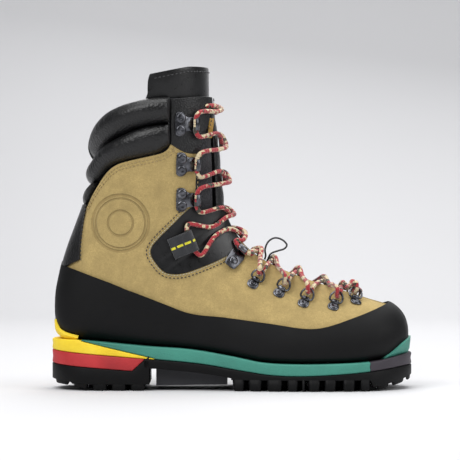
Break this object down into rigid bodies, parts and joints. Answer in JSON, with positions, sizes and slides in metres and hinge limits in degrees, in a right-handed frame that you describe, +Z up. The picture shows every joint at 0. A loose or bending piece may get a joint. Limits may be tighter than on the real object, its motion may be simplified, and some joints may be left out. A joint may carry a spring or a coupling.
{
  "type": "mountaineering boot",
  "caption": "Laced high-ankle mountaineering boot with padded collar, rubber rand, layered midsole with crampon ledges and a lugged outsole.",
  "frame": {"origin": "centre of the bounding box's bottom face, on the ground under the boot", "axes": "+X towards the toe, +Z up, -Y towards the outer (lateral) side of the right foot"},
  "size_m": [0.3058, 0.1068, 0.272],
  "materials": {
    "tread_rubber": "moulded matte rubber",
    "grey_plastic": "moulded plastic, fine grain",
    "red_foam": "moulded matte polyurethane",
    "yellow_foam": "moulded matte polyurethane",
    "teal_foam": "moulded matte polyurethane",
    "rand_rubber": "calendered matte rubber",
    "tan_suede": "brushed suede",
    "black_leather": "full-grain, semi-gloss",
    "board": "pressed fibre board",
    "lining_cloth": "knitted lining",
    "webbing": "woven webbing",
    "lace_braid": "round braid, flecked",
    "loop_cord": "braided cord",
    "dark_metal": "black-nickel plated steel"
  },
  "bodies": {
    "boot": {"outsole": "tread_rubber", "arch_shank": "grey_plastic", "heel_brake": "red_foam", "heel_wedge": "yellow_foam", "midsole": "teal_foam", "toe_insert": "grey_plastic", "rubber_rand": "rand_rubber", "vamp": "tan_suede", "quarter_lateral": "tan_suede", "quarter_medial": "tan_suede", "flex_panel_lateral": "black_leather", "hook_facing_lateral": "black_leather", "flex_panel_medial": "black_leather", "hook_facing_medial": "black_leather", "back_strip": "black_leather", "heel_counter": "board", "toe_stiffener": "board", "tongue": "black_leather", "lining": "lining_cloth", "collar_roll_top": "black_leather", "collar_roll_middle": "black_leather", "collar_roll_low": "black_leather", "insole_board": "board", "footbed": "lining_cloth", "toe_bumper": "teal_foam", "heel_bumper": "yellow_foam", "ring_clip_lateral_1": "dark_metal", "ring_clip_lateral_2": "dark_metal", "ring_clip_lateral_3": "dark_metal", "ring_clip_lateral_4": "dark_metal", "ring_clip_lateral_5": "dark_metal", "ring_clip_medial_1": "dark_metal", "ring_clip_medial_2": "dark_metal", "ring_clip_medial_3": "dark_metal", "ring_clip_medial_4": "dark_metal", "ring_clip_medial_5": "dark_metal", "speed_hook_lateral_1": "dark_metal", "speed_hook_lateral_2": "dark_metal", "speed_hook_lateral_3": "dark_metal", "speed_hook_medial_1": "dark_metal", "speed_hook_medial_2": "dark_metal", "speed_hook_medial_3": "dark_metal", "locking_eyelet_lateral": "dark_metal", "locking_eyelet_medial": "dark_metal", "lace_strap_lateral": "webbing", "lace_strap_medial": "webbing", "lace": "lace_braid", "cord_loop": "loop_cord"},
    "tongue_top": {"tongue_flap": "black_leather"},
    "ring_lateral_1": {"lace_ring_lateral_1": "dark_metal"},
    "ring_lateral_2": {"lace_ring_lateral_2": "dark_metal"},
    "ring_lateral_3": {"lace_ring_lateral_3": "dark_metal"},
    "ring_lateral_4": {"lace_ring_lateral_4": "dark_metal"},
    "ring_lateral_5": {"lace_ring_lateral_5": "dark_metal"},
    "ring_medial_1": {"lace_ring_medial_1": "dark_metal"},
    "ring_medial_2": {"lace_ring_medial_2": "dark_metal"},
    "ring_medial_3": {"lace_ring_medial_3": "dark_metal"},
    "ring_medial_4": {"lace_ring_medial_4": "dark_metal"},
    "ring_medial_5": {"lace_ring_medial_5": "dark_metal"}
  },
  "joints": [
    {"name": "tongue_fold", "type": "hinge", "parent": "boot", "child": "tongue_top", "pos_m": [-0.0235, 0, 0.2455], "axis": [0, 1, 0], "range_deg": [0, 40], "stiffness_Nm_per_rad": 0.02},
    {"name": "ring_lateral_1_swing", "type": "hinge", "parent": "boot", "child": "ring_lateral_1", "pos_m": [0.10424, -0.01721, 0.07727], "axis": [-0.9541, -0.2412, 0.1778], "range_deg": [-6, 6]},
    {"name": "ring_lateral_2_swing", "type": "hinge", "parent": "boot", "child": "ring_lateral_2", "pos_m": [0.08657, -0.02889, 0.07398], "axis": [-0.936, 0.146, 0.3203], "range_deg": [-6, 6]},
    {"name": "ring_lateral_3_swing", "type": "hinge", "parent": "boot", "child": "ring_lateral_3", "pos_m": [0.06183, -0.03036, 0.07682], "axis": [-0.8972, 0.2056, 0.3908], "range_deg": [-6, 6]},
    {"name": "ring_lateral_4_swing", "type": "hinge", "parent": "boot", "child": "ring_lateral_4", "pos_m": [0.04183, -0.02672, 0.08518], "axis": [-0.8483, 0.2068, 0.4875], "range_deg": [-6, 6]},
    {"name": "ring_lateral_5_swing", "type": "hinge", "parent": "boot", "child": "ring_lateral_5", "pos_m": [0.02004, -0.02506, 0.09281], "axis": [-0.8233, 0.1346, 0.5514], "range_deg": [-6, 6]},
    {"name": "ring_medial_1_swing", "type": "hinge", "parent": "boot", "child": "ring_medial_1", "pos_m": [0.1041, 0.02257, 0.07723], "axis": [0.9656, -0.2374, -0.1066], "range_deg": [-6, 6]},
    {"name": "ring_medial_2_swing", "type": "hinge", "parent": "boot", "child": "ring_medial_2", "pos_m": [0.08638, 0.03101, 0.07387], "axis": [0.9338, 0.197, -0.2988], "range_deg": [-6, 6]},
    {"name": "ring_medial_3_swing", "type": "hinge", "parent": "boot", "child": "ring_medial_3", "pos_m": [0.06157, 0.02985, 0.07672], "axis": [0.8882, 0.2768, -0.3667], "range_deg": [-6, 6]},
    {"name": "ring_medial_4_swing", "type": "hinge", "parent": "boot", "child": "ring_medial_4", "pos_m": [0.04164, 0.02424, 0.08506], "axis": [0.8383, 0.246, -0.4866], "range_deg": [-6, 6]},
    {"name": "ring_medial_5_swing", "type": "hinge", "parent": "boot", "child": "ring_medial_5", "pos_m": [0.01994, 0.02134, 0.09267], "axis": [0.8161, 0.1371, -0.5614], "range_deg": [-6, 6]}
  ]
}
